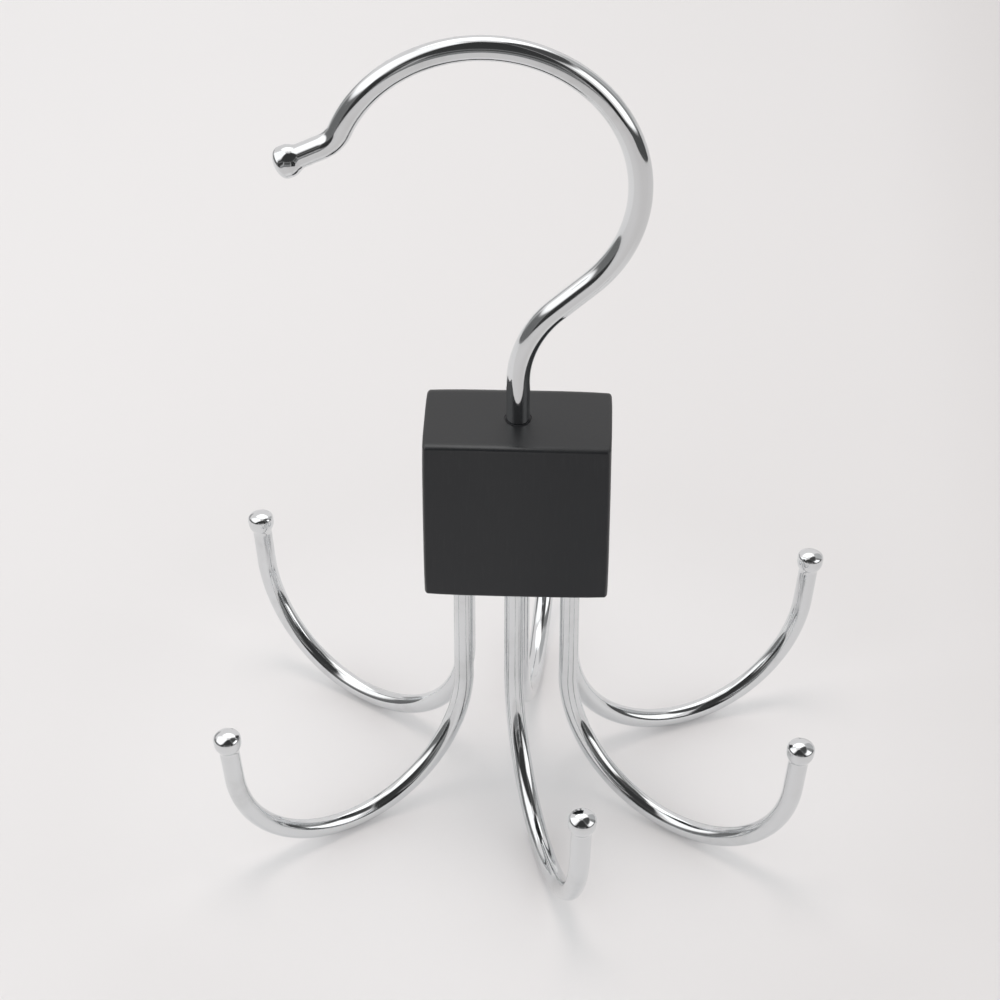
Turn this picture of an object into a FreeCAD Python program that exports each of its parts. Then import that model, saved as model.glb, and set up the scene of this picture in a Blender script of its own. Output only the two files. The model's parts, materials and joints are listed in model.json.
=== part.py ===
import FreeCAD, Part
import math
import os

# Tie hanger: a block of black painted hardwood holds bent wire arms below and a swivelling wire hook above.
# Millimetres. The origin is on the hook's swivel axis, in the plane that the arms stand on.
# +Z is up, +X is to the right and -Y is towards the front of the block.

# Block: square from the front, a little over half as deep, with eased edges
block_width = 35.5
block_depth = 20.0
block_height = 35.5
block_edge_radius = 1.0

# Arms: one length of wire each, with a stem glued into the block, one wide bend and an upright end
arm_wire_diameter = 3.85
arm_socket_depth = 12.0
arm_stem_length = 23.6
arm_bend_radius = 26.2
arm_bend_degrees = 174.3
arm_end_length = 9.6
side_stem_x = 10.4
side_stem_y = 4.3
middle_stem_x = 0.5
middle_stem_y = 3.4

# The way each arm's cradle points in plan, from +X towards +Y
front_left_degrees = 215.0
back_left_degrees = 146.0
front_degrees = -74.5
back_degrees = 84.5
front_right_degrees = -33.5
back_right_degrees = 23.0

# Each arm's stem in plan, and the way its cradle points
arms = {
    "front_left": (-side_stem_x, -side_stem_y, front_left_degrees),
    "back_left": (-side_stem_x, side_stem_y, back_left_degrees),
    "front": (-middle_stem_x, -middle_stem_y, front_degrees),
    "back": (middle_stem_x, middle_stem_y, back_degrees),
    "front_right": (side_stem_x, -side_stem_y, front_right_degrees),
    "back_right": (side_stem_x, side_stem_y, back_right_degrees),
}

# Hook: one length of wire with a straight shank, a bend to the right, the loop and a kinked end
hook_wire_diameter = 4.5
hook_shank_rise = 8.4
hook_lower_radius = 22.5
hook_lower_degrees = 46.5
hook_slant_length = 8.2
hook_loop_radius = 27.8
hook_loop_degrees = 203.0
hook_kink_radius = 7.0
hook_kink_degrees = 40.5
hook_end_length = 6.9

# Swivel: a nylon sleeve in the block carries the shank, and a sprung ring under it holds the shank in
sleeve_wall = 0.3
sleeve_length = 12.0
sleeve_recess = 0.15
sleeve_mouth_chamfer = 0.15
ring_wire_diameter = 0.6
ring_opening_degrees = 50.0
shank_tail_length = 2.0
shank_tail_chamfer = 0.5

# Ball tips: each stands proud of its wire all round, flows into it by a neck and sits on a turned spigot.
# Over a straight band at its widest, a shoulder rounds it into a low dome.
arm_ball_overhang = 0.725
arm_ball_band = 0.8
arm_shoulder_radius = 1.05
arm_dome_radius = 3.85
arm_neck_radius = 2.0
hook_ball_overhang = 0.78
hook_ball_band = 0.7
hook_shoulder_radius = 1.2
hook_dome_radius = 4.4
hook_neck_radius = 2.0
spigot_diameter_share = 0.65
spigot_reach_share = 0.4

# Fits: the gap all round a running shank, the play along its axis, glue all round, and air under its end
running_clearance = 0.05
ring_play = 0.1
glue_gap = 0.05
shank_end_clearance = 0.3

# Heights that follow from the sizes above
block_bottom = arm_stem_length + arm_bend_radius + arm_wire_diameter / 2
block_top = block_bottom + block_height
sleeve_top = block_top - sleeve_recess
sleeve_bottom = sleeve_top - sleeve_length
ring_height = sleeve_bottom - ring_play - ring_wire_diameter / 2
groove_top = ring_height + ring_wire_diameter / 2 + ring_play
groove_bottom = ring_height - ring_wire_diameter / 2 - ring_play
shank_end = groove_bottom - shank_tail_length
bore_floor = shank_end - shank_end_clearance

# Radii of the swivel's pieces, from the shank outwards
shank_radius = hook_wire_diameter / 2
sleeve_inner_radius = shank_radius + running_clearance
sleeve_outer_radius = sleeve_inner_radius + sleeve_wall
bore_radius = sleeve_outer_radius + glue_gap
# The open ring sits half on the shank's shoulder and half under the sleeve
ring_radius = (shank_radius + sleeve_inner_radius) / 2
# Squeezed shut on the floor of its groove, the ring passes through the sleeve
groove_radius = sleeve_inner_radius - ring_wire_diameter - running_clearance

UP = FreeCAD.Vector(0, 0, 1)
ORIGIN = FreeCAD.Vector(0, 0, 0)
FULL_TURN = 360
HEADING_UP = 90
HEADING_DOWN = -90


class BentWire:
    """The centreline of a wire in one upright plane: straight runs and tangent bends, end to end."""

    def __init__(self, start, azimuth_degrees, heading_degrees):
        azimuth = math.radians(azimuth_degrees)
        self.outwards = FreeCAD.Vector(math.cos(azimuth), math.sin(azimuth), 0)
        self.point = start
        self.heading = math.radians(heading_degrees)
        self.edges = []

    def along(self, angle):
        """The direction in the plane at this angle above the outward level."""
        return self.outwards * math.cos(angle) + UP * math.sin(angle)

    def straight(self, length):
        end = self.point + self.along(self.heading) * length
        self.edges.append(Part.makeLine(self.point, end))
        self.point = end

    def bend(self, radius, degrees):
        """Turns the heading by this angle, upwards from outwards when it is positive."""
        turn = math.radians(degrees)
        to_centre = self.heading + math.copysign(math.pi / 2, turn)
        centre = self.point + self.along(to_centre) * radius
        middle = centre - self.along(to_centre + turn / 2) * radius
        end = centre - self.along(to_centre + turn) * radius
        self.edges.append(Part.Arc(self.point, middle, end).toShape())
        self.point = end
        self.heading += turn

    def direction(self):
        return self.along(self.heading)

    def solid(self, diameter):
        """Sweeps a round section of this diameter along the centreline."""
        first = self.edges[0]
        start = first.valueAt(first.FirstParameter)
        facing = first.tangentAt(first.FirstParameter)
        section = Part.Wire(Part.makeCircle(diameter / 2, start, facing))
        return Part.Wire(self.edges).makePipeShell([section], True, False)


def turned(outline):
    """Turns a closed outline of (radius, height) points about the Z axis."""
    points = [FreeCAD.Vector(radius, 0, height) for radius, height in outline]
    face = Part.Face(Part.makePolygon(points + points[:1]))
    return face.revolve(ORIGIN, UP, FULL_TURN)


def placed(solid, point, direction):
    """Moves a solid made along +Z at the origin to this point, facing this way."""
    solid.Placement = FreeCAD.Placement(point, FreeCAD.Rotation(UP, direction))
    return solid


def arc(centre, start, end):
    """The shorter arc from start to end about a centre."""
    to_middle = (start - centre) + (end - centre)
    middle = centre + to_middle * ((start - centre).Length / to_middle.Length)
    return Part.Arc(start, middle, end).toShape()


class BallTip:
    """A turned tip about the Z axis: its widest level is at the origin, and its wire comes up from -Z."""

    def __init__(self, wire_diameter, overhang, band, shoulder_radius, dome_radius, neck_radius):
        self.wire_diameter = wire_diameter
        self.wire_radius = wire_diameter / 2
        self.ball_radius = self.wire_radius + overhang
        self.band = band
        self.shoulder_radius = shoulder_radius
        self.dome_radius = dome_radius
        self.neck_radius = neck_radius
        # How far behind the widest level the neck has come down to the wire
        slope = self.ball_radius + neck_radius
        self.neck_length = math.sqrt(slope ** 2 - (self.wire_radius + neck_radius) ** 2)

    def spigot(self, gap):
        """The turned end of the wire from the neck forwards, or with a gap the socket that takes it."""
        radius = self.wire_radius * spigot_diameter_share
        length = self.neck_length + self.ball_radius * spigot_reach_share
        return Part.makeCylinder(radius + gap, length + gap, UP * -self.neck_length)

    def solid(self):
        """The dome, shoulder, band, lower ball and hollow neck, turned and bored for the spigot."""
        neck_centre = FreeCAD.Vector(self.wire_radius + self.neck_radius, 0, -self.neck_length)
        on_ball = neck_centre * (self.ball_radius / (self.ball_radius + self.neck_radius))
        on_wire = FreeCAD.Vector(self.wire_radius, 0, -self.neck_length)
        foot = UP * -self.neck_length
        band_foot = FreeCAD.Vector(self.ball_radius, 0, 0)
        band_head = FreeCAD.Vector(self.ball_radius, 0, self.band)
        shoulder_centre = FreeCAD.Vector(self.ball_radius - self.shoulder_radius, 0, self.band)
        dome_to_shoulder = self.dome_radius - self.shoulder_radius
        drop = math.sqrt(dome_to_shoulder ** 2 - shoulder_centre.x ** 2)
        dome_centre = UP * (self.band - drop)
        on_dome = dome_centre + (shoulder_centre - dome_centre) * (self.dome_radius / dome_to_shoulder)
        pole = dome_centre + UP * self.dome_radius
        outline = [
            Part.makeLine(pole, foot),
            Part.makeLine(foot, on_wire),
            arc(neck_centre, on_wire, on_ball),
            arc(ORIGIN, on_ball, band_foot),
            Part.makeLine(band_foot, band_head),
            arc(shoulder_centre, band_head, on_dome),
            arc(dome_centre, on_dome, pole),
        ]
        tip = Part.Face(Part.Wire(outline)).revolve(ORIGIN, UP, FULL_TURN)
        return tip.cut(self.spigot(glue_gap))


arm_tip = BallTip(
    arm_wire_diameter,
    arm_ball_overhang,
    arm_ball_band,
    arm_shoulder_radius,
    arm_dome_radius,
    arm_neck_radius,
)
hook_tip = BallTip(
    hook_wire_diameter,
    hook_ball_overhang,
    hook_ball_band,
    hook_shoulder_radius,
    hook_dome_radius,
    hook_neck_radius,
)


def tipped_wire(path, end_length, tip):
    """Ends a wire in a spigot with its ball tip: the last straight runs to the tip's widest level."""
    path.straight(end_length - tip.neck_length)
    facing = path.direction()
    widest = path.point + facing * tip.neck_length
    end = placed(tip.spigot(0), widest, facing)
    wire = path.solid(tip.wire_diameter).fuse(end).removeSplitter()
    return wire, placed(tip.solid(), widest, facing)


def arm(stem_x, stem_y, azimuth_degrees):
    """One arm and its ball tip, from the floor of its socket to the tip."""
    start = FreeCAD.Vector(stem_x, stem_y, block_bottom + arm_socket_depth)
    path = BentWire(start, azimuth_degrees, HEADING_DOWN)
    path.straight(arm_socket_depth + arm_stem_length)
    path.bend(arm_bend_radius, arm_bend_degrees)
    return tipped_wire(path, arm_end_length, arm_tip)


def hook():
    """The hook and its ball tip: the shank turned with its groove, the rest bent from the same wire."""
    shank_top = block_top + hook_shank_rise
    shank = turned([
        (0, shank_end),
        (shank_radius - shank_tail_chamfer, shank_end),
        (shank_radius, shank_end + shank_tail_chamfer),
        (shank_radius, groove_bottom),
        (groove_radius, groove_bottom),
        (groove_radius, groove_top),
        (shank_radius, groove_top),
        (shank_radius, shank_top),
        (0, shank_top),
    ])
    path = BentWire(UP * shank_top, 0, HEADING_UP)
    path.bend(hook_lower_radius, -hook_lower_degrees)
    path.straight(hook_slant_length)
    path.bend(hook_loop_radius, hook_loop_degrees)
    path.bend(hook_kink_radius, -hook_kink_degrees)
    wire, tip = tipped_wire(path, hook_end_length, hook_tip)
    return wire.fuse(shank).removeSplitter(), tip


def swivel_sleeve():
    """The nylon sleeve, with its mouth opened out for the shank to be pushed in."""
    return turned([
        (sleeve_inner_radius, sleeve_bottom),
        (sleeve_outer_radius, sleeve_bottom),
        (sleeve_outer_radius, sleeve_top),
        (sleeve_inner_radius + sleeve_mouth_chamfer, sleeve_top),
        (sleeve_inner_radius, sleeve_top - sleeve_mouth_chamfer),
    ])


def snap_ring():
    """The split ring of spring wire in the shank's groove, sprung open under the sleeve."""
    centre = FreeCAD.Vector(ring_radius, 0, ring_height)
    section = Part.Face(Part.Wire(Part.makeCircle(ring_wire_diameter / 2, centre, FreeCAD.Vector(0, 1, 0))))
    return section.revolve(ORIGIN, UP, FULL_TURN - ring_opening_degrees)


def block():
    """The eased block, bored from above for the swivel and from below for the stems."""
    corner = FreeCAD.Vector(-block_width / 2, -block_depth / 2, block_bottom)
    body = Part.makeBox(block_width, block_depth, block_height, corner)
    body = body.makeFillet(block_edge_radius, body.Edges)
    bores = [Part.makeCylinder(bore_radius, block_top - bore_floor, UP * bore_floor)]
    for stem_x, stem_y, _ in arms.values():
        mouth = FreeCAD.Vector(stem_x, stem_y, block_bottom)
        bores.append(Part.makeCylinder(arm_wire_diameter / 2 + glue_gap, arm_socket_depth, mouth))
    return body.cut(bores)


nodes = {
    "block": block(),
    "swivel_sleeve": swivel_sleeve(),
    "snap_ring": snap_ring(),
}
nodes["hook"], nodes["hook_ball_tip"] = hook()
for name, (stem_x, stem_y, azimuth_degrees) in arms.items():
    nodes["arm_" + name], nodes["ball_tip_" + name] = arm(stem_x, stem_y, azimuth_degrees)

os.makedirs("parts", exist_ok=True)
for name, shape in nodes.items():
    solid = shape.Solids[0]
    print(name, len(shape.Solids), solid.isValid(), round(solid.Volume, 2))
    solid.exportStep("parts/" + name + ".step")
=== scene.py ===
import json
import math

import bmesh
import bpy
from bpy.props import FloatProperty, FloatVectorProperty, PointerProperty
from mathutils import Matrix, Vector


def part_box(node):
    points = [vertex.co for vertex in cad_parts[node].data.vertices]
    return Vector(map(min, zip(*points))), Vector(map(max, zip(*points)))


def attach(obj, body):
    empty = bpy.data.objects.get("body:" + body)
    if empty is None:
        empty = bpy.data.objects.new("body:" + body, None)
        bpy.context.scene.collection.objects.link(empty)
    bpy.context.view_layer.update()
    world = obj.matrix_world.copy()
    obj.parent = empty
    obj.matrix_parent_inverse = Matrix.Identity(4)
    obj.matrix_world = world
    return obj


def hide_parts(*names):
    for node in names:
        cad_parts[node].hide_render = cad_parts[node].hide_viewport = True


bl_info = {
    "name": "Tie Hanger",
    "version": (1, 0, 0),
    "blender": (4, 5, 0),
    "location": "View3D > Sidebar > Tie Hanger",
    "description": "Builds the finished pieces of a tie hanger: painted block, swivel, hook and arms",
    "category": "Add Mesh",
}

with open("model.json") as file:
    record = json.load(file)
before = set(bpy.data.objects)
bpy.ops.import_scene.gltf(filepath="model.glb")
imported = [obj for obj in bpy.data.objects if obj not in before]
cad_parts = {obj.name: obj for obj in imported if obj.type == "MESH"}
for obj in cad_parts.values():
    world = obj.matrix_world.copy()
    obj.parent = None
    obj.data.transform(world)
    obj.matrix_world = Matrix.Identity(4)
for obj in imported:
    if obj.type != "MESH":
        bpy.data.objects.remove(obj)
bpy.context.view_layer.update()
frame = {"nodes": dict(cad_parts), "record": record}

MM = 0.001
UP = Vector((0, 0, 1))
ORIGIN = Vector((0, 0, 0))
QUARTER_TURN = math.pi / 2
FULL_TURN = 2 * math.pi

# How finely round forms are divided
WIRE_SIDES = 96
RING_WIRE_SIDES = 24
TURNED_STEPS = 96
PROFILE_STEP = math.radians(3)
BEND_STEP = math.radians(1.5)
EDGE_SEGMENTS = 8
BLOCK_CUTS = 10
FLOOR_SIDES = 96
SHARP_ANGLE = math.radians(35)
# Points closer than this are one point
HAIR = 0.001 * MM

# Fits and hidden sizes of the swivel, the sockets and the ball tips, as the CAD model has them
RUNNING_CLEARANCE = 0.05 * MM
RING_PLAY = 0.1 * MM
RING_OPENING = math.radians(50)
GLUE_GAP = 0.05 * MM
SHANK_TAIL_LENGTH = 2.0 * MM
SHANK_TAIL_CHAMFER = 0.5 * MM
SHANK_END_CLEARANCE = 0.3 * MM
SLEEVE_MOUTH_CHAMFER = 0.15 * MM
ARM_SOCKET_DEPTH = 12.0 * MM
SPIGOT_DIAMETER_SHARE = 0.65
SPIGOT_REACH_SHARE = 0.4

# How far past a bore's rim the block's faces are opened before they are refilled
BORE_MARGIN = 2.0 * MM
# Faces whose normals point up or down by more than this share are the block's top and bottom
LEVEL_SHARE = 0.5
# How steeply the drawn-in corners fade out along the block's edges
CORNER_POWER = 4

ARM_NAMES = [node[len("arm_"):] for node in frame["nodes"] if node.startswith("arm_")]
BLOCK_LOW, BLOCK_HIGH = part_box("block")
BLOCK_MIDDLE = (BLOCK_LOW + BLOCK_HIGH) / 2
BLOCK_HALF = (BLOCK_HIGH - BLOCK_LOW) / 2
SLEEVE_LOW, SLEEVE_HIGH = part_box("swivel_sleeve")
RING_LOW, RING_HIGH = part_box("snap_ring")
RING_WIRE = RING_HIGH.z - RING_LOW.z

# Fixed sizes of the stage
FLOOR_RADIUS = 8.0
CARD_CENTRE_HEIGHT = 70 * MM
SENSOR_WIDTH_IN_MM = 36.0
NEAREST_SEEN = 10 * MM
# Name of the values on the cards' points that soften their edges
INSIDE = "inside"


def length(name, description, millimetres):
    """A length that the panel shows in the scene's units."""
    return FloatProperty(
        name=name, description=description, default=millimetres * MM, min=0.0, precision=5, unit="LENGTH"
    )


def angle(name, description, degrees):
    """An angle that the panel shows in degrees."""
    return FloatProperty(
        name=name, description=description, default=math.radians(degrees), subtype="ANGLE"
    )


def position(name, description, x, y, z):
    """A point, from millimetres along X, Y and Z."""
    return FloatVectorProperty(
        name=name,
        description=description,
        default=(x * MM, y * MM, z * MM),
        precision=5,
        subtype="XYZ",
        unit="LENGTH",
    )


def tint(name, description, red, green, blue):
    """A colour, in linear values."""
    return FloatVectorProperty(
        name=name, description=description, default=(red, green, blue), min=0.0, max=1.0, subtype="COLOR"
    )


def amount(name, description, default, largest):
    """A plain number from zero up."""
    return FloatProperty(name=name, description=description, default=default, min=0.0, max=largest)


class TieHangerSizes(bpy.types.PropertyGroup):
    """Sizes of the block and of the bent wires"""

    block_edge: FloatVectorProperty(
        name="Block edge",
        description="How far the block's eased edges reach over its faces along X, Y and Z",
        default=(0.6 * MM, 1.3 * MM, 0.65 * MM),
        min=0.0,
        precision=5,
        subtype="XYZ",
        unit="LENGTH",
    )
    block_corner: length("Block corner", "How far the block's corners are drawn in along each axis", 0.2)
    arm_wire: length("Arm wire", "Diameter of the arms' wire", 3.85)
    arm_bend: angle("Arm bend", "How far each arm turns from its stem to its upright end", 174.3)
    arm_end: length("Arm end", "Straight run from an arm's bend to its ball's widest level", 9.6)
    arm_ball: length("Arm ball", "Diameter of the arms' ball tips", 5.3)
    arm_band: length("Arm ball band", "Straight side of an arm's ball at its widest", 0.8)
    arm_shoulder: length("Arm ball shoulder", "Radius from the band of an arm's ball into its dome", 1.05)
    arm_dome: length("Arm ball dome", "Radius of the dome of an arm's ball", 3.85)
    arm_neck: length("Arm neck", "Radius of the hollow between an arm's ball and its wire", 2.0)
    hook_wire: length("Hook wire", "Diameter of the hook's wire", 4.5)
    hook_rise: length("Hook rise", "Straight shank above the block", 8.4)
    hook_lower_radius: length("Lower bend", "Radius of the hook's bend above the block", 22.5)
    hook_lower_bend: angle("Lower bend turn", "How far the hook leans over above the block", 46.5)
    hook_slant: length("Hook slant", "Straight run between the lower bend and the loop", 8.2)
    hook_loop_bend: angle("Loop turn", "How far the hook's loop goes round", 203.0)
    hook_kink_radius: length("Kink", "Radius of the kink at the hook's end", 7.0)
    hook_kink_bend: angle("Kink turn", "How far the kink turns the hook's end outwards", 40.5)
    hook_end: length("Hook end", "Straight run from the kink to the hook ball's widest level", 6.9)
    hook_ball: length("Hook ball", "Diameter of the hook's ball tip", 6.06)
    hook_band: length("Hook ball band", "Straight side of the hook's ball at its widest", 0.7)
    hook_shoulder: length("Hook ball shoulder", "Radius from the band of the hook's ball into its dome", 1.2)
    hook_dome: length("Hook ball dome", "Radius of the dome of the hook's ball", 4.4)
    hook_neck: length("Hook neck", "Radius of the hollow between the hook's ball and its wire", 2.0)


class TieHangerFinish(bpy.types.PropertyGroup):
    """Colours and gloss of the finishes"""

    chrome: tint("Chrome", "Colour that the clean chrome plate reflects", 0.735, 0.75, 0.76)
    chrome_haze: tint("Chrome haze", "Colour of the chrome under handling marks", 0.6, 0.61, 0.612)
    chrome_roughness: amount("Chrome roughness", "Roughness of clean chrome", 0.075, 1.0)
    paint: tint("Paint", "Black paint of the block", 0.0066, 0.0074, 0.0092)
    # Also the lighter colour that the painted light on the block's left side and the lighter top face are
    # mixed towards
    paint_faded_and_lit: tint("Faded paint", "Thin or dusty paint, on edges and on top", 0.018, 0.0185, 0.0195)
    paint_roughness: amount("Paint roughness", "Roughness of the satin paint", 0.39, 1.0)
    nylon: tint("Nylon", "Black nylon of the swivel sleeve", 0.03, 0.03, 0.032)
    spring_steel: tint("Spring steel", "Bright steel of the snap ring", 0.5, 0.5, 0.51)


class TieHangerStudio(bpy.types.PropertyGroup):
    """Floor, light and camera"""

    floor: tint("Floor", "Colour of the floor", 0.861, 0.839, 0.837)
    ambient: amount("Ambient", "Light from all round", 1.01, 5.0)
    ambient_tint: tint("Ambient tint", "Colour of the light from all round", 0.97, 0.993, 1.0)
    skyline: amount("Skyline", "Share of the ambient light at the level", 2.1, 5.0)
    ceiling: amount("Ceiling", "Share of the ambient light overhead", 0.4, 5.0)
    backdrop: amount("Backdrop", "Brightness of the surroundings in reflections", 0.97, 5.0)
    softbox_power: FloatProperty(
        name="Softbox", description="Power of the lamp overhead", default=2.3, min=0.0, unit="POWER"
    )
    softbox_size: length("Softbox size", "Side of the lamp overhead", 400)
    softbox_place: position("Softbox place", "Where the lamp overhead hangs", -60, 120, 1060)
    softbox_tint: tint("Softbox tint", "Colour of the lamp overhead", 1.0, 0.92, 0.89)
    camera_lens: FloatProperty(
        name="Lens", description="Focal length in millimetres", default=106.2, min=1.0, unit="CAMERA"
    )
    camera_target: position("Camera target", "Point that the camera looks at", -3.401, 0.0, 67.908)
    camera_distance: length("Camera distance", "From the camera to its target", 567.676)
    camera_elevation: angle("Camera elevation", "Camera's height above the level, as an angle", 37.077)
    camera_yaw: angle("Camera yaw", "How far the camera stands round to the right", 2.029)
    camera_roll: angle("Camera roll", "Turn of the camera about its own line of sight", 0.04)


class Signal:
    """A value in a shader: Python arithmetic on it adds Math nodes."""

    def __init__(self, shader, socket):
        self.shader = shader
        self.socket = socket

    def maths(self, operation, first, second):
        return self.shader.add("ShaderNodeMath", {"operation": operation}, {0: first, 1: second})

    def __add__(self, other):
        return self.maths("ADD", self, other)

    def __radd__(self, other):
        return self.maths("ADD", other, self)

    def __sub__(self, other):
        return self.maths("SUBTRACT", self, other)

    def __rsub__(self, other):
        return self.maths("SUBTRACT", other, self)

    def __mul__(self, other):
        return self.maths("MULTIPLY", self, other)

    def __rmul__(self, other):
        return self.maths("MULTIPLY", other, self)

    def __abs__(self):
        return self.maths("ABSOLUTE", self, 0.0)


class Shader:
    """The node tree of a material or of the world."""

    def __init__(self, owner):
        owner.use_nodes = True
        self.owner = owner
        self.tree = owner.node_tree
        self.tree.nodes.clear()

    def add(self, kind, settings=None, sockets=None, output=0):
        """Adds a node: its settings first, then the values or links of its sockets."""
        node = self.tree.nodes.new(kind)
        for key, value in (settings or {}).items():
            setattr(node, key, value)
        for key, value in (sockets or {}).items():
            if isinstance(value, Signal):
                self.tree.links.new(value.socket, node.inputs[key])
            else:
                node.inputs[key].default_value = value
        return Signal(self, node.outputs[output]) if node.outputs else None

    def object_place(self):
        return self.add("ShaderNodeTexCoord", output="Object")

    def coordinate(self, place, axis):
        """How far a place lies along one axis."""
        return self.add("ShaderNodeSeparateXYZ", None, {"Vector": place}, axis)

    def stretched(self, place, scale):
        """The same place with each axis scaled, so that a pattern on it is drawn out."""
        return self.add("ShaderNodeMapping", None, {"Vector": place, "Scale": scale})

    def noise(self, place, feature, detail=2.0, roughness=0.5):
        """Cloudy noise from 0 to 1 whose features are about this many metres across."""
        sockets = {"Vector": place, "Scale": 1 / feature, "Detail": detail, "Roughness": roughness}
        return self.add("ShaderNodeTexNoise", None, sockets, "Fac")

    def ramp(self, value, start, end):
        """Goes smoothly from 0 to 1 as the value goes from start to end."""
        sockets = {"Value": value, "From Min": start, "From Max": end}
        return self.add("ShaderNodeMapRange", {"interpolation_type": "SMOOTHSTEP"}, sockets)

    def mix(self, factor, first, second):
        """A colour between two colours."""
        settings = {"data_type": "RGBA", "blend_type": "MIX"}
        return self.add("ShaderNodeMix", settings, {0: factor, 6: opaque(first), 7: opaque(second)}, 2)

    def blend(self, factor, first, second):
        """A shader between two shaders."""
        return self.add("ShaderNodeMixShader", None, {0: factor, 1: first, 2: second})

    def bump(self, height, distance):
        """A normal bent by a height from 0 to 1 that stands for this many metres."""
        return self.add("ShaderNodeBump", None, {"Height": height, "Distance": distance, "Strength": 1.0})

    def background(self, colour, strength):
        return self.add("ShaderNodeBackground", None, {"Color": opaque(colour), "Strength": strength})

    def surface(self, sockets):
        """Ends the tree in a Principled shader."""
        shader = self.add("ShaderNodeBsdfPrincipled", None, sockets)
        self.add("ShaderNodeOutputMaterial", None, {"Surface": shader})


def opaque(colour):
    """A colour with full alpha, as colour sockets take it."""
    return (*colour, 1.0)


def new_shader(name):
    return Shader(bpy.data.materials.new(name))


def chrome_plate(look, name, feature):
    """Polished chrome with faint waves, handling haze and fine pits, at the scale of the piece."""
    shader = new_shader(name)
    place = shader.object_place()
    smears = shader.noise(place, 4 * feature, detail=4.0, roughness=0.6)
    grime = shader.noise(place, 0.5 * feature, detail=3.0, roughness=0.65)
    specks = shader.noise(place, 0.05 * feature, detail=1.0)
    waves = shader.noise(place, 3 * feature, detail=0.0)
    haze = shader.ramp(smears, 0.48, 0.72) * grime
    pits = shader.ramp(specks, 0.72, 0.8)
    shader.surface({
        "Base Color": shader.mix(haze, look.chrome, look.chrome_haze),
        "Metallic": 1.0,
        "Roughness": look.chrome_roughness + 0.07 * haze + 0.15 * pits,
        "Normal": shader.bump(waves, 0.003 * feature),
    })
    return shader.owner


def black_paint(look, block_edge):
    """Satin paint over close-grained wood, with dust specks, rubbed edges, a lighter top face and a burnish
    to the left, and painted light that lightens the left side.
    """
    shader = new_shader("satin_black_paint")
    place = shader.object_place()
    from_middle = shader.add("ShaderNodeMapping", None, {"Vector": place, "Location": -BLOCK_MIDDLE})
    across, along, upwards = (shader.coordinate(from_middle, axis) for axis in "XYZ")
    near_side, near_front, near_level = (
        shader.ramp(abs(coordinate), half - 1.5 * edge, half - 0.2 * edge)
        for coordinate, half, edge in zip((across, along, upwards), BLOCK_HALF, block_edge)
    )
    edges = near_side * near_front + near_front * near_level + near_level * near_side
    # Lighter towards the left: painted light on the left side, where the lamp's light falls; the same ramp
    # marks where the front edge is burnished
    to_left = shader.ramp(across, 0.6 * BLOCK_HALF.x, -0.3 * BLOCK_HALF.x)
    burnished = near_front * near_level * to_left
    # The whole top face is lighter
    lighter_top = shader.ramp(upwards, BLOCK_HALF.z - 0.6 * block_edge.z, BLOCK_HALF.z)

    fibres = shader.stretched(place, (1.0, 1.0, 0.08))
    grain = shader.noise(fibres, feature=0.5 * MM, detail=3.0, roughness=0.6)
    cloud = shader.noise(place, feature=9 * MM, detail=3.0, roughness=0.55)
    peel = shader.noise(place, feature=0.45 * MM)
    dust = shader.ramp(shader.noise(place, feature=0.3 * MM), 0.7, 0.78)
    wear = shader.noise(place, feature=1.2 * MM, detail=4.0, roughness=0.65)
    rubbed = edges * shader.ramp(wear, 0.42, 0.68)
    thin = 0.35 * shader.ramp(grain, 0.5, 0.8) + 0.25 * cloud + 0.4 * rubbed
    # The left side's share is painted light; the rest is thin, rubbed and worn paint, the edges and the
    # lighter top face
    faded_and_lit_left = thin + 0.6 * lighter_top + 0.2 * to_left + 0.4 * edges
    relief = (0.5 * peel + 0.5 * grain + 0.6 * dust) * (1.0 - edges)
    shader.surface({
        "Base Color": shader.mix(faded_and_lit_left, look.paint, look.paint_faded_and_lit),
        "Roughness": look.paint_roughness - 0.05 + 0.1 * cloud + 0.1 * dust - 0.2 * burnished,
        "Specular IOR Level": 0.37,
        "Coat Weight": 0.45 * burnished,
        "Coat Roughness": 0.15,
        "Normal": shader.bump(relief, 0.012 * MM),
    })
    return shader.owner


def black_nylon(look):
    """Matt nylon with the fine lines of extrusion."""
    shader = new_shader("extruded_black_nylon")
    place = shader.object_place()
    lines = shader.noise(shader.stretched(place, (1.0, 1.0, 0.05)), feature=0.12 * MM)
    cloud = shader.noise(place, feature=2 * MM, detail=3.0)
    shader.surface({
        "Base Color": shader.mix(cloud, look.nylon, [1.8 * c for c in look.nylon]),
        "Roughness": 0.42 + 0.2 * cloud,
        "Normal": shader.bump(lines, 0.004 * MM),
    })
    return shader.owner


def drawn_spring_steel(look):
    """Bright spring wire with drawing marks and a trace of oil."""
    shader = new_shader("drawn_spring_steel")
    place = shader.object_place()
    marks = shader.noise(shader.stretched(place, (1.0, 1.0, 4.0)), feature=0.2 * MM, detail=3.0)
    oil = shader.ramp(shader.noise(place, feature=1.5 * MM), 0.45, 0.7)
    shader.surface({
        "Base Color": shader.mix(oil, look.spring_steel, [0.8 * c for c in look.spring_steel]),
        "Metallic": 1.0,
        "Roughness": 0.22 + 0.12 * marks - 0.06 * oil,
        "Normal": shader.bump(marks, 0.002 * MM),
    })
    return shader.owner


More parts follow.
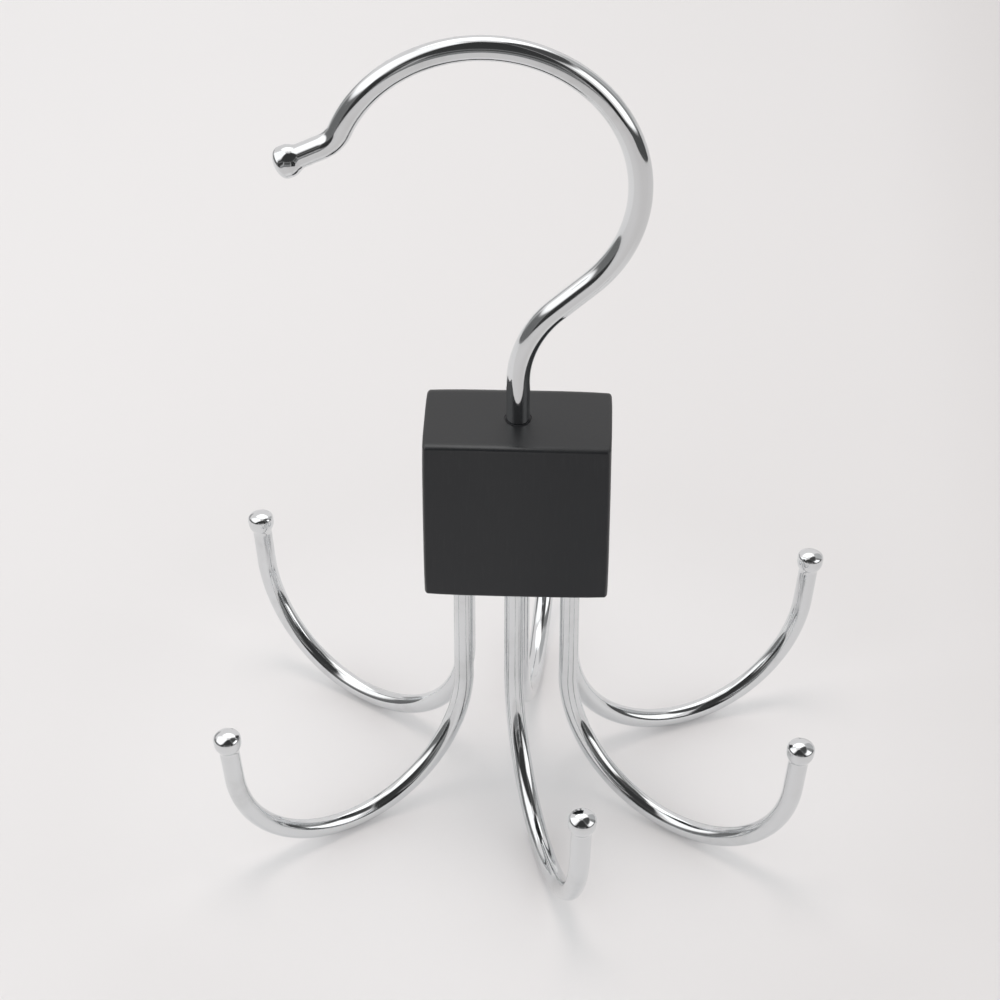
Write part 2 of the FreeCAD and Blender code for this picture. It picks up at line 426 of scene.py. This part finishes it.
def floor_board(studio):
    """Matt pale board with a barely seen tooth and painted shade: darker to the right, to the front and
    further out from the hanger.
    """
    shader = new_shader("pale_floor_board")
    place = shader.object_place()
    across = shader.coordinate(place, "X")
    along = shader.coordinate(place, "Y")
    outwards = shader.add("ShaderNodeVectorMath", {"operation": "LENGTH"}, {0: place}, "Value")
    # Painted shade: darker to the right and in a far band on the right, where less light falls, darker to
    # the front as a painted shadow from the camera's side, and darker away from the hanger round a painted
    # pool of light
    to_right = shader.ramp(across, start=-150 * MM, end=150 * MM)
    far_right = shader.ramp(across, start=85 * MM, end=140 * MM)
    to_front = shader.ramp(along, start=-70 * MM, end=-115 * MM)
    away = shader.ramp(outwards, start=45 * MM, end=100 * MM)
    cloud = shader.noise(place, feature=120 * MM, detail=3.0)
    tooth = shader.noise(place, feature=1.2 * MM, detail=3.0)
    # Colour of the floor where its painted shade is deepest
    painted_shade_shares = (0.757, 0.743, 0.738)
    painted_shade_colour = [share * c for share, c in zip(painted_shade_shares, studio.floor)]
    # Share of painted shade, with a little random cloud
    shade = 0.06 * cloud + 0.29 * to_right + 0.3 * away + 0.3 * far_right + 0.4 * to_front
    shader.surface({
        "Base Color": shader.mix(shade, studio.floor, painted_shade_colour),
        "Roughness": 0.75 + 0.1 * tooth,
        "Specular IOR Level": 0.15,
        "Normal": shader.bump(tooth, 0.01 * MM),
    })
    return shader.owner


def glow(name, brightness):
    """A glow for a card that only reflections show, fading out at the card's edges."""
    shader = new_shader(name)
    light = shader.add("ShaderNodeEmission", None, {"Color": opaque([1.0] * 3), "Strength": brightness})
    clear = shader.add("ShaderNodeBsdfTransparent")
    inside = shader.add("ShaderNodeAttribute", {"attribute_name": INSIDE}, None, "Fac")
    shader.add("ShaderNodeOutputMaterial", None, {"Surface": shader.blend(inside, clear, light)})
    return shader.owner


def of_kind(geometry, kind):
    return [element for element in geometry if isinstance(element, kind)]


def once_each(elements):
    """The elements without repeats, in the order in which they come."""
    return list(dict.fromkeys(elements))


def facing(direction):
    """The turn that brings +Z to a direction."""
    return UP.rotation_difference(direction).to_matrix().to_4x4()


def new_object(bm, name, material):
    """Turns a bmesh into a smooth-shaded object at the origin."""
    if name in bpy.data.objects:
        raise RuntimeError(name + " has been built already")
    mesh = bpy.data.meshes.new(name)
    bm.to_mesh(mesh)
    bm.free()
    mesh.materials.append(material)
    mesh.shade_smooth()
    mesh.set_sharp_from_angle(angle=SHARP_ANGLE)
    made = bpy.data.objects.new(name, mesh)
    bpy.context.scene.collection.objects.link(made)
    return made


def new_piece(bm, name, material, body, node):
    """Makes a piece that rides on a body and stands for a CAD node."""
    bmesh.ops.remove_doubles(bm, verts=bm.verts, dist=HAIR)
    bmesh.ops.recalc_face_normals(bm, faces=bm.faces)
    piece = new_object(bm, name, material)
    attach(piece, body)
    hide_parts(node)
    return piece


class Wire:
    """A round wire in one upright plane, grown from its start by pushing and bending its end ring."""

    def __init__(self, start, outwards, heading, radius):
        self.bm = bmesh.new()
        self.outwards = outwards
        self.heading = heading
        self.point = start.copy()
        self.radius = radius
        place = Matrix.Translation(start) @ facing(self.direction())
        bmesh.ops.create_circle(self.bm, cap_ends=True, segments=WIRE_SIDES, radius=radius, matrix=place)
        self.ring = self.bm.edges[:]

    def along(self, tilt):
        """The direction in the wire's plane at this angle above the level."""
        return self.outwards * math.cos(tilt) + UP * math.sin(tilt)

    def direction(self):
        return self.along(self.heading)

    def push(self, distance, radius=None):
        """Draws the end ring straight on, and to a new radius where one is given."""
        grown = bmesh.ops.extrude_edge_only(self.bm, edges=self.ring)["geom"]
        verts = of_kind(grown, bmesh.types.BMVert)
        bmesh.ops.translate(self.bm, verts=verts, vec=self.direction() * distance)
        self.point = self.point + self.direction() * distance
        self.ring = of_kind(grown, bmesh.types.BMEdge)
        if radius is not None:
            share = radius / self.radius
            bmesh.ops.scale(self.bm, verts=verts, vec=[share] * 3, space=Matrix.Translation(-self.point))
            self.radius = radius

    def bend(self, radius, turn):
        """Swings the end ring round a bend, upwards from outwards when the turn is positive."""
        to_centre = self.heading + math.copysign(QUARTER_TURN, turn)
        centre = self.point + self.along(to_centre) * radius
        verts = once_each(vert for edge in self.ring for vert in edge.verts)
        spun = bmesh.ops.spin(
            self.bm,
            geom=[*verts, *self.ring],
            cent=centre,
            axis=self.outwards.cross(UP),
            angle=turn,
            steps=math.ceil(abs(turn) / BEND_STEP),
        )
        self.ring = of_kind(spun["geom_last"], bmesh.types.BMEdge)
        self.point = centre - self.along(to_centre + turn) * radius
        self.heading += turn

    def close(self):
        bmesh.ops.edgeloop_fill(self.bm, edges=self.ring)


class BallTip:
    """Sizes of a domed ball that flows into its wire by a hollow neck and sits on a turned spigot."""

    def __init__(self, wire_diameter, ball_diameter, band, shoulder_radius, dome_radius, neck_radius):
        self.wire_radius = wire_diameter / 2
        self.radius = ball_diameter / 2
        self.band = band
        self.shoulder_radius = shoulder_radius
        self.dome_radius = dome_radius
        self.neck_radius = neck_radius
        out = self.wire_radius + neck_radius
        self.neck_length = math.sqrt((self.radius + neck_radius) ** 2 - out**2)
        self.neck_turn = math.atan2(self.neck_length, out)
        self.dome_turn = math.asin((self.radius - shoulder_radius) / (dome_radius - shoulder_radius))
        self.spigot_radius = self.wire_radius * SPIGOT_DIAMETER_SHARE
        self.spigot_top = self.radius * SPIGOT_REACH_SHARE

    def end_wire(self, wire, end_length):
        """Runs a wire to the neck, turns its spigot and returns the middle of the ball's widest level."""
        wire.push(end_length - self.neck_length)
        middle = wire.point + wire.direction() * self.neck_length
        wire.push(0, self.spigot_radius)
        wire.push(self.neck_length + self.spigot_top)
        wire.close()
        return middle

    def turned(self, middle, direction):
        """The tip as a bmesh: an outline of socket, neck, ball and dome, spun about the wire's line."""
        bm = bmesh.new()
        foot = -self.neck_length
        socket_radius = self.spigot_radius + GLUE_GAP
        socket_top = self.spigot_top + GLUE_GAP
        shoulder_out = self.radius - self.shoulder_radius
        dome_height = self.band - (self.dome_radius - self.shoulder_radius) * math.cos(self.dome_turn)
        outline = Outline(bm, (0, socket_top))
        outline.line((socket_radius, socket_top))
        outline.line((socket_radius, foot))
        outline.line((self.wire_radius, foot))
        outline.arc((self.wire_radius + self.neck_radius, foot), self.neck_turn)
        outline.arc((0, 0), -self.neck_turn)
        outline.line((self.radius, self.band))
        outline.arc((shoulder_out, self.band), self.dome_turn - QUARTER_TURN)
        outline.arc((0, dome_height), -self.dome_turn)
        outline.spin_round()
        bmesh.ops.transform(bm, matrix=Matrix.Translation(middle) @ facing(direction), verts=bm.verts)
        return bm


class Outline:
    """Half of a turned form: lines and arcs through (radius, height) points, spun about the Z axis."""

    def __init__(self, bm, start):
        self.bm = bm
        self.end = bmesh.ops.create_vert(bm, co=(start[0], 0, start[1]))["vert"][0]

    def line(self, point):
        grown = bmesh.ops.extrude_vert_indiv(self.bm, verts=[self.end])
        self.end = grown["verts"][0]
        self.end.co = (point[0], 0, point[1])

    def arc(self, centre, turn):
        """Goes on round a centre, from the radius towards the height when the turn is negative."""
        spun = bmesh.ops.spin(
            self.bm,
            geom=[self.end],
            cent=(centre[0], 0, centre[1]),
            axis=(0, 1, 0),
            angle=turn,
            steps=math.ceil(abs(turn) / PROFILE_STEP),
        )
        self.end = of_kind(spun["geom_last"], bmesh.types.BMVert)[0]

    def spin_round(self, turn=FULL_TURN):
        """Spins the outline, which closes on itself in a full turn."""
        bmesh.ops.spin(
            self.bm,
            geom=[*self.bm.verts, *self.bm.edges],
            cent=ORIGIN,
            axis=UP,
            angle=turn,
            steps=math.ceil(TURNED_STEPS * turn / FULL_TURN),
            use_merge=turn == FULL_TURN,
        )


def mount(name):
    """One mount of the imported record."""
    return next(entry for entry in frame["record"]["mounts"] if entry["name"] == name)


def stem_place(node):
    """Where an arm's stem stands in plan, from the round face at its top."""
    points = [vertex.co for vertex in frame["nodes"][node].data.vertices]
    top = max(point.z for point in points)
    face = [point for point in points if point.z > top - HAIR]
    low, high = ([end(point[axis] for point in face) for axis in range(2)] for end in (min, max))
    return Vector(((low[0] + high[0]) / 2, (low[1] + high[1]) / 2, 0))


def sleeve_bore(sizes):
    """Radius inside the sleeve that the shank runs in."""
    return sizes.hook_wire / 2 + RUNNING_CLEARANCE


def draw_corners_in(bm, depth):
    """Draws the block's corners in by this depth along each axis, fading out along its edges."""
    for vert in bm.verts:
        x, y, z = ((vert.co - BLOCK_MIDDLE)[axis] / BLOCK_HALF[axis] for axis in range(3))
        fades = ((y * z) ** CORNER_POWER, (z * x) ** CORNER_POWER, (x * y) ** CORNER_POWER)
        vert.co -= depth * Vector((x * fades[0], y * fades[1], z * fades[2]))


def bored_face(bm, normal_z, height, bores, depth):
    """Opens the block's top or bottom round its bores, sinks the bores and refills it up to them."""
    opened = once_each(
        face
        for face in bm.faces
        for centre, radius in bores
        if face.normal.z * normal_z > LEVEL_SHARE
        and (face.calc_center_median() - centre).xy.length < radius + BORE_MARGIN
    )
    edges = once_each(edge for face in opened for edge in face.edges)
    rim = [edge for edge in edges if not set(edge.link_faces) <= set(opened)]
    bmesh.ops.delete(bm, geom=opened, context="FACES")
    for centre, radius in bores:
        place = Matrix.Translation((centre.x, centre.y, height))
        circle = bmesh.ops.create_circle(bm, segments=WIRE_SIDES, radius=radius, matrix=place)
        mouth = once_each(edge for vert in circle["verts"] for edge in vert.link_edges)
        rim += mouth
        wall = bmesh.ops.extrude_edge_only(bm, edges=mouth)["geom"]
        bmesh.ops.translate(bm, verts=of_kind(wall, bmesh.types.BMVert), vec=-normal_z * depth * UP)
        bmesh.ops.edgeloop_fill(bm, edges=of_kind(wall, bmesh.types.BMEdge))
    bmesh.ops.triangle_fill(bm, edges=rim, use_beauty=True, normal=normal_z * UP)


class TIEHANGER_OT_block(bpy.types.Operator):
    """Builds the block with eased edges, bored for the swivel and the stems, in satin black paint"""

    bl_idname = "tie_hanger.block"
    bl_label = "Build Block"

    def execute(self, context):
        sizes = context.scene.tie_hanger_sizes
        look = context.scene.tie_hanger_finish
        bm = bmesh.new()
        size = Matrix.Diagonal((*(BLOCK_HIGH - BLOCK_LOW), 1.0))
        # Bevelled in units of the edges' reach along each axis, so that they roll over as ellipses
        reach = Matrix.Diagonal((*sizes.block_edge, 1.0))
        bmesh.ops.create_cube(bm, size=1.0, matrix=reach.inverted() @ size)
        bmesh.ops.subdivide_edges(bm, edges=bm.edges, cuts=BLOCK_CUTS, use_grid_fill=True)
        bmesh.ops.bevel(
            bm,
            geom=[edge for edge in bm.edges if edge.calc_face_angle() > SHARP_ANGLE],
            offset=1.0,
            offset_type="OFFSET",
            affect="EDGES",
            segments=EDGE_SEGMENTS,
            profile=0.5,
            material=-1,
        )
        bmesh.ops.transform(bm, matrix=Matrix.Translation(BLOCK_MIDDLE) @ reach, verts=bm.verts)
        draw_corners_in(bm, sizes.block_corner)
        bm.normal_update()
        swivel_radius = SLEEVE_HIGH.x + GLUE_GAP
        bore_floor = RING_LOW.z - RING_PLAY - SHANK_TAIL_LENGTH - SHANK_END_CLEARANCE
        bored_face(bm, 1, BLOCK_HIGH.z, [(ORIGIN, swivel_radius)], BLOCK_HIGH.z - bore_floor)
        stem_radius = sizes.arm_wire / 2 + GLUE_GAP
        stems = [(stem_place("arm_" + name), stem_radius) for name in ARM_NAMES]
        bored_face(bm, -1, BLOCK_LOW.z, stems, ARM_SOCKET_DEPTH)
        paint = black_paint(look, sizes.block_edge)
        piece = new_piece(bm, "painted_block", paint, "carrier", "block")
        normals = piece.modifiers.new("flat_faces", "WEIGHTED_NORMAL")
        normals.keep_sharp = True
        return {"FINISHED"}


class TIEHANGER_OT_sleeve(bpy.types.Operator):
    """Builds the nylon sleeve in the block's top that the hook turns in"""

    bl_idname = "tie_hanger.sleeve"
    bl_label = "Build Sleeve"

    def execute(self, context):
        inner = sleeve_bore(context.scene.tie_hanger_sizes)
        outer = SLEEVE_HIGH.x
        bm = bmesh.new()
        outline = Outline(bm, (inner, SLEEVE_LOW.z))
        outline.line((outer, SLEEVE_LOW.z))
        outline.line((outer, SLEEVE_HIGH.z))
        outline.line((inner + SLEEVE_MOUTH_CHAMFER, SLEEVE_HIGH.z))
        outline.line((inner, SLEEVE_HIGH.z - SLEEVE_MOUTH_CHAMFER))
        outline.line((inner, SLEEVE_LOW.z))
        outline.spin_round()
        nylon = black_nylon(context.scene.tie_hanger_finish)
        new_piece(bm, "nylon_sleeve", nylon, "carrier", "swivel_sleeve")
        return {"FINISHED"}


class TIEHANGER_OT_ring(bpy.types.Operator):
    """Builds the sprung ring that keeps the hook's shank in its sleeve"""

    bl_idname = "tie_hanger.ring"
    bl_label = "Build Ring"

    def execute(self, context):
        sizes = context.scene.tie_hanger_sizes
        radius = (sizes.hook_wire / 2 + sleeve_bore(sizes)) / 2
        height = (RING_LOW.z + RING_HIGH.z) / 2
        bm = bmesh.new()
        place = Matrix.Translation((radius, 0, height)) @ Matrix.Rotation(QUARTER_TURN, 4, "X")
        bmesh.ops.create_circle(bm, segments=RING_WIRE_SIDES, radius=RING_WIRE / 2, matrix=place)
        start = bm.edges[:]
        spun = bmesh.ops.spin(
            bm,
            geom=[*bm.verts, *start],
            cent=ORIGIN,
            axis=UP,
            angle=FULL_TURN - RING_OPENING,
            steps=TURNED_STEPS,
        )
        bmesh.ops.edgeloop_fill(bm, edges=start)
        bmesh.ops.edgeloop_fill(bm, edges=of_kind(spun["geom_last"], bmesh.types.BMEdge))
        steel = drawn_spring_steel(context.scene.tie_hanger_finish)
        new_piece(bm, "sprung_ring", steel, "hook", "snap_ring")
        return {"FINISHED"}


class TIEHANGER_OT_hook(bpy.types.Operator):
    """Builds the chrome hook from its grooved shank to its ball tip"""

    bl_idname = "tie_hanger.hook"
    bl_label = "Build Hook"

    def execute(self, context):
        sizes = context.scene.tie_hanger_sizes
        look = context.scene.tie_hanger_finish
        radius = sizes.hook_wire / 2
        # Squeezed shut on the floor of its groove, the ring passes through the sleeve
        groove_radius = sleeve_bore(sizes) - RING_WIRE - RUNNING_CLEARANCE
        groove_low = RING_LOW.z - RING_PLAY
        groove_high = RING_HIGH.z + RING_PLAY
        shank_end = groove_low - SHANK_TAIL_LENGTH
        loop_radius = mount("rail_hook")["dims"]["r_mm"] * MM + radius

        wire = Wire(UP * shank_end, Vector((1, 0, 0)), QUARTER_TURN, radius - SHANK_TAIL_CHAMFER)
        wire.push(SHANK_TAIL_CHAMFER, radius)
        wire.push(SHANK_TAIL_LENGTH - SHANK_TAIL_CHAMFER)
        wire.push(0, groove_radius)
        wire.push(groove_high - groove_low)
        wire.push(0, radius)
        wire.push(BLOCK_HIGH.z + sizes.hook_rise - groove_high)
        wire.bend(sizes.hook_lower_radius, -sizes.hook_lower_bend)
        wire.push(sizes.hook_slant)
        wire.bend(loop_radius, sizes.hook_loop_bend)
        wire.bend(sizes.hook_kink_radius, -sizes.hook_kink_bend)
        tip = BallTip(
            sizes.hook_wire,
            sizes.hook_ball,
            sizes.hook_band,
            sizes.hook_shoulder,
            sizes.hook_dome,
            sizes.hook_neck,
        )
        middle = tip.end_wire(wire, sizes.hook_end)

        plate = chrome_plate(look, "hook_chrome", sizes.hook_wire)
        new_piece(wire.bm, "hook_wire", plate, "hook", "hook")
        ball = tip.turned(middle, wire.direction())
        ball_plate = chrome_plate(look, "hook_ball_chrome", sizes.hook_ball)
        new_piece(ball, "hook_ball", ball_plate, "hook", "hook_ball_tip")
        return {"FINISHED"}


class TIEHANGER_OT_arms(bpy.types.Operator):
    """Builds the chrome arms that fan out under the block, with their ball tips"""

    bl_idname = "tie_hanger.arms"
    bl_label = "Build Arms"

    def execute(self, context):
        sizes = context.scene.tie_hanger_sizes
        look = context.scene.tie_hanger_finish
        radius = sizes.arm_wire / 2
        plate = chrome_plate(look, "arm_chrome", sizes.arm_wire)
        ball_plate = chrome_plate(look, "arm_ball_chrome", sizes.arm_ball)
        tip = BallTip(
            sizes.arm_wire,
            sizes.arm_ball,
            sizes.arm_band,
            sizes.arm_shoulder,
            sizes.arm_dome,
            sizes.arm_neck,
        )
        for name in ARM_NAMES:
            cradle = mount("cradle_" + name)
            bend_radius = cradle["dims"]["r_mm"] * MM + radius
            stem = stem_place("arm_" + name)
            outwards = Vector(cradle["pos_m"]) - stem
            outwards.z = 0
            outwards.normalize()
            start = stem + UP * (BLOCK_LOW.z + ARM_SOCKET_DEPTH)
            wire = Wire(start, outwards, -QUARTER_TURN, radius)
            wire.push(start.z - bend_radius - radius)
            wire.bend(bend_radius, sizes.arm_bend)
            middle = tip.end_wire(wire, sizes.arm_end)
            new_piece(wire.bm, "arm_wire_" + name, plate, "carrier", "arm_" + name)
            ball = tip.turned(middle, wire.direction())
            new_piece(ball, "arm_ball_" + name, ball_plate, "carrier", "ball_tip_" + name)
        return {"FINISHED"}


# Cards that only reflections show: azimuths from the camera's side to the right, elevations and the width
# of the soft edge, all in degrees from the hanger's middle, distance in metres and brightness
STUDIO_CARDS = {
    "window_left": ((-122, -52), (19.5, 80), 6, 0.5, 1.4),
    "window_back": ((132, 238), (43, 84), 8, 0.95, 1.9),
    "window_right": ((54, 95), (3, 47), 5, 0.8, 1.6),
    "dark_front": ((-50, 48), (22, 88), 6, 0.75, 0.042),
    "dark_front_low": ((-24, 27), (6, 28), 5, 0.72, 0.072),
    "dark_front_left": ((-54, -22), (-8, 28), 5, 0.7, 0.033),
    "dark_front_right": ((24, 47), (-10, 28), 4, 0.7, 0.022),
    "dim_front_low": ((-26, 26), (-7, 11), 5, 0.7, 0.2),
    "dark_left": ((-116, -48), (-9, 21), 5, 0.72, 0.17),
    "dim_left": ((-150, -108), (-9, 15), 6, 0.74, 0.38),
    "dark_right": ((40, 112), (-15, 8), 3, 0.5, 0.08),
    "dim_right": ((93, 114), (-2, 50), 5, 0.7, 0.24),
    "dim_right_high": ((44, 126), (46, 86), 5, 0.7, 0.075),
    "grey_back_right": ((108, 146), (0, 50), 8, 0.75, 0.48),
}


def studio_card(name, azimuths, elevations, soft_edge, distance, brightness):
    """A curved card round the hanger, open to reflections alone."""
    bm = bmesh.new()
    inside = bm.verts.layers.float.new(INSIDE)
    low, high, left, right = (math.radians(degrees) for degrees in (*elevations, *azimuths))
    step = math.radians(soft_edge)
    start = bmesh.ops.create_vert(bm, co=(0, -distance, 0))["vert"]
    bmesh.ops.rotate(bm, cent=ORIGIN, matrix=Matrix.Rotation(-low, 3, "X"), verts=start)
    steps = round((high - low) / step)
    bmesh.ops.spin(bm, geom=start, cent=ORIGIN, axis=(-1, 0, 0), angle=high - low, steps=steps)
    bmesh.ops.rotate(bm, cent=ORIGIN, matrix=Matrix.Rotation(left, 3, "Z"), verts=bm.verts)
    edge = [*bm.verts, *bm.edges]
    steps = round((right - left) / step)
    bmesh.ops.spin(bm, geom=edge, cent=ORIGIN, axis=UP, angle=right - left, steps=steps)
    bmesh.ops.translate(bm, verts=bm.verts, vec=UP * CARD_CENTRE_HEIGHT)
    for vert in bm.verts:
        vert[inside] = 0.0 if vert.is_boundary else 1.0
    card = new_object(bm, name, glow(name + "_glow", brightness))
    card.visible_camera = False
    card.visible_diffuse = False
    card.visible_transmission = False
    card.visible_shadow = False


def light_from_all_round(scene, studio):
    """Sets the world: light that fades towards the ceiling, and a backdrop that is seen and mirrored."""
    world = bpy.data.worlds.new("studio")
    scene.world = world
    shader = Shader(world)
    kinds = ("Is Camera Ray", "Is Glossy Ray", "Is Transmission Ray")
    straight, mirrored, through = (shader.add("ShaderNodeLightPath", output=kind) for kind in kinds)
    upwards = shader.coordinate(shader.add("ShaderNodeTexCoord", output="Generated"), "Z")
    skyline = shader.background(studio.ambient_tint, studio.skyline * studio.ambient)
    ceiling = shader.background(studio.ambient_tint, studio.ceiling * studio.ambient)
    light = shader.blend(shader.ramp(upwards, 0.0, 1.0), skyline, ceiling)
    backdrop = shader.background(studio.floor, studio.backdrop)
    mixed = shader.blend(straight + mirrored + through, light, backdrop)
    shader.add("ShaderNodeOutputWorld", None, {"Surface": mixed})


def hang_softbox(scene, studio):
    """Adds the lamp that casts the shadows, turned to the hanger's foot and left out of reflections."""
    lamp = bpy.data.lights.new("softbox", "AREA")
    lamp.shape = "SQUARE"
    lamp.size = studio.softbox_size
    lamp.energy = studio.softbox_power
    lamp.color = studio.softbox_tint
    softbox = bpy.data.objects.new("softbox", lamp)
    scene.collection.objects.link(softbox)
    place = Vector(studio.softbox_place)
    softbox.matrix_world = Matrix.Translation(place) @ facing(place)
    softbox.visible_glossy = False
    softbox.visible_camera = False


def set_camera(scene, studio):
    """Adds the camera and swings it round its target."""
    lens = bpy.data.cameras.new("camera")
    lens.sensor_fit = "HORIZONTAL"
    lens.sensor_width = SENSOR_WIDTH_IN_MM
    lens.lens = studio.camera_lens
    lens.clip_start = NEAREST_SEEN
    camera = bpy.data.objects.new("camera", lens)
    scene.collection.objects.link(camera)
    turn = (
        Matrix.Rotation(studio.camera_yaw, 4, "Z")
        @ Matrix.Rotation(QUARTER_TURN - studio.camera_elevation, 4, "X")
        @ Matrix.Rotation(studio.camera_roll, 4, "Z")
    )
    back = Matrix.Translation(UP * studio.camera_distance)
    camera.matrix_world = Matrix.Translation(studio.camera_target) @ turn @ back
    scene.camera = camera


class TIEHANGER_OT_stage(bpy.types.Operator):
    """Sets the pale floor, the soft light, the cards that the chrome mirrors and the camera"""

    bl_idname = "tie_hanger.stage"
    bl_label = "Set Stage"

    def execute(self, context):
        scene = context.scene
        studio = scene.tie_hanger_studio
        scene.view_settings.view_transform = "Standard"
        bm = bmesh.new()
        bmesh.ops.create_circle(bm, cap_ends=True, segments=FLOOR_SIDES, radius=FLOOR_RADIUS)
        new_object(bm, "floor", floor_board(studio))
        for name, card in STUDIO_CARDS.items():
            studio_card(name, *card)
        light_from_all_round(scene, studio)
        hang_softbox(scene, studio)
        set_camera(scene, studio)
        return {"FINISHED"}


class TIEHANGER_PT_panel(bpy.types.Panel):
    """Lists the hanger's operators, sizes, finishes and studio"""

    bl_idname = "TIEHANGER_PT_panel"
    bl_label = "Tie Hanger"
    bl_space_type = "VIEW_3D"
    bl_region_type = "UI"
    bl_category = "Tie Hanger"

    def draw(self, context):
        scene = context.scene
        for operator in OPERATORS:
            self.layout.operator(operator.bl_idname)
        for group in (scene.tie_hanger_sizes, scene.tie_hanger_finish, scene.tie_hanger_studio):
            column = self.layout.column(align=True)
            for key in group.__annotations__:
                column.prop(group, key)


GROUPS = (TieHangerSizes, TieHangerFinish, TieHangerStudio)
OPERATORS = (
    TIEHANGER_OT_block,
    TIEHANGER_OT_sleeve,
    TIEHANGER_OT_ring,
    TIEHANGER_OT_hook,
    TIEHANGER_OT_arms,
    TIEHANGER_OT_stage,
)
CLASSES = (*GROUPS, *OPERATORS, TIEHANGER_PT_panel)


def register():
    for cls in CLASSES:
        bpy.utils.register_class(cls)
    bpy.types.Scene.tie_hanger_sizes = PointerProperty(type=TieHangerSizes)
    bpy.types.Scene.tie_hanger_finish = PointerProperty(type=TieHangerFinish)
    bpy.types.Scene.tie_hanger_studio = PointerProperty(type=TieHangerStudio)


def unregister():
    del bpy.types.Scene.tie_hanger_studio
    del bpy.types.Scene.tie_hanger_finish
    del bpy.types.Scene.tie_hanger_sizes
    for cls in reversed(CLASSES):
        bpy.utils.unregister_class(cls)


def main():
    register()
    bpy.ops.tie_hanger.block()
    bpy.ops.tie_hanger.sleeve()
    bpy.ops.tie_hanger.ring()
    bpy.ops.tie_hanger.hook()
    bpy.ops.tie_hanger.arms()
    bpy.ops.tie_hanger.stage()


if __name__ == "__main__":
    main()
